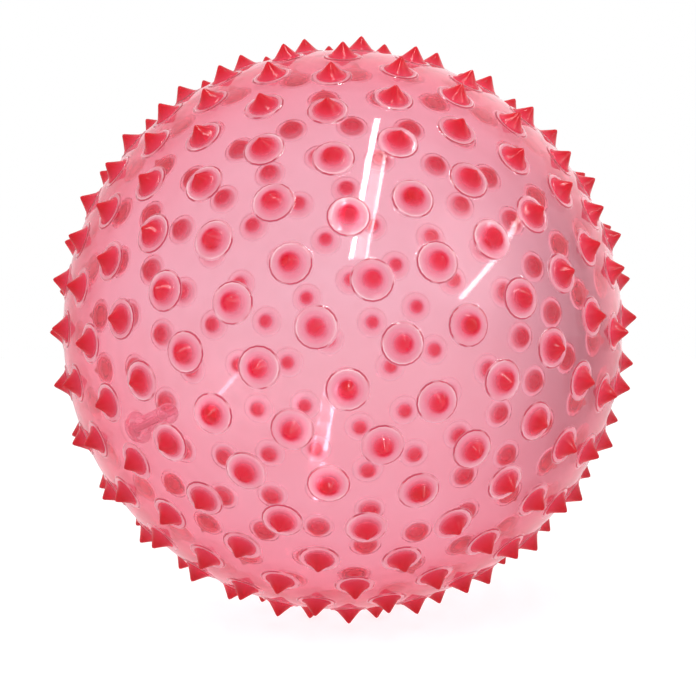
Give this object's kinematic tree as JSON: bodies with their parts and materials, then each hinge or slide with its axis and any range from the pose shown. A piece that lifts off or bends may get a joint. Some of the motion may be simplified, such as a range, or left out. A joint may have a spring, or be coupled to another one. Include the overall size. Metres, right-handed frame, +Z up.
{
  "type": "sensory ball",
  "caption": "Inflatable sensory ball with a clear pink skin, red conical spikes on round pads, and a valve with a pull-out plug.",
  "frame": {"origin": "centre of the ball", "axes": "+Z up as the ball rests on three spikes, +X to the right and +Y away in the picture's view; the valve points to -X, +Y and -Z"},
  "size_m": [0.1992, 0.1994, 0.199],
  "materials": {
    "pink_skin": "clear glossy pink soft PVC",
    "red_spikes": "glossy red soft PVC",
    "valve_pvc": "translucent rosy soft PVC",
    "plug_pvc": "milky white plastic"
  },
  "bodies": {
    "ball": {"ball_skin": "pink_skin", "pole_spike": "red_spikes", "spikes_row_01": "red_spikes", "spikes_row_02": "red_spikes", "spikes_row_03": "red_spikes", "spikes_row_04": "red_spikes", "spikes_row_05": "red_spikes", "spikes_row_06": "red_spikes", "spikes_row_07": "red_spikes", "spikes_row_08": "red_spikes", "spikes_row_09": "red_spikes", "spikes_row_10": "red_spikes", "spikes_row_11": "red_spikes", "spikes_row_12": "red_spikes", "spikes_row_13": "red_spikes", "spikes_row_14": "red_spikes", "valve_body": "valve_pvc"},
    "plug": {"valve_plug": "plug_pvc"}
  },
  "joints": [
    {"name": "plug_pull", "type": "slide", "parent": "ball", "child": "plug", "axis": [-0.8296, 0.3957, -0.3939], "range_m": [0, 0.018]}
  ]
}
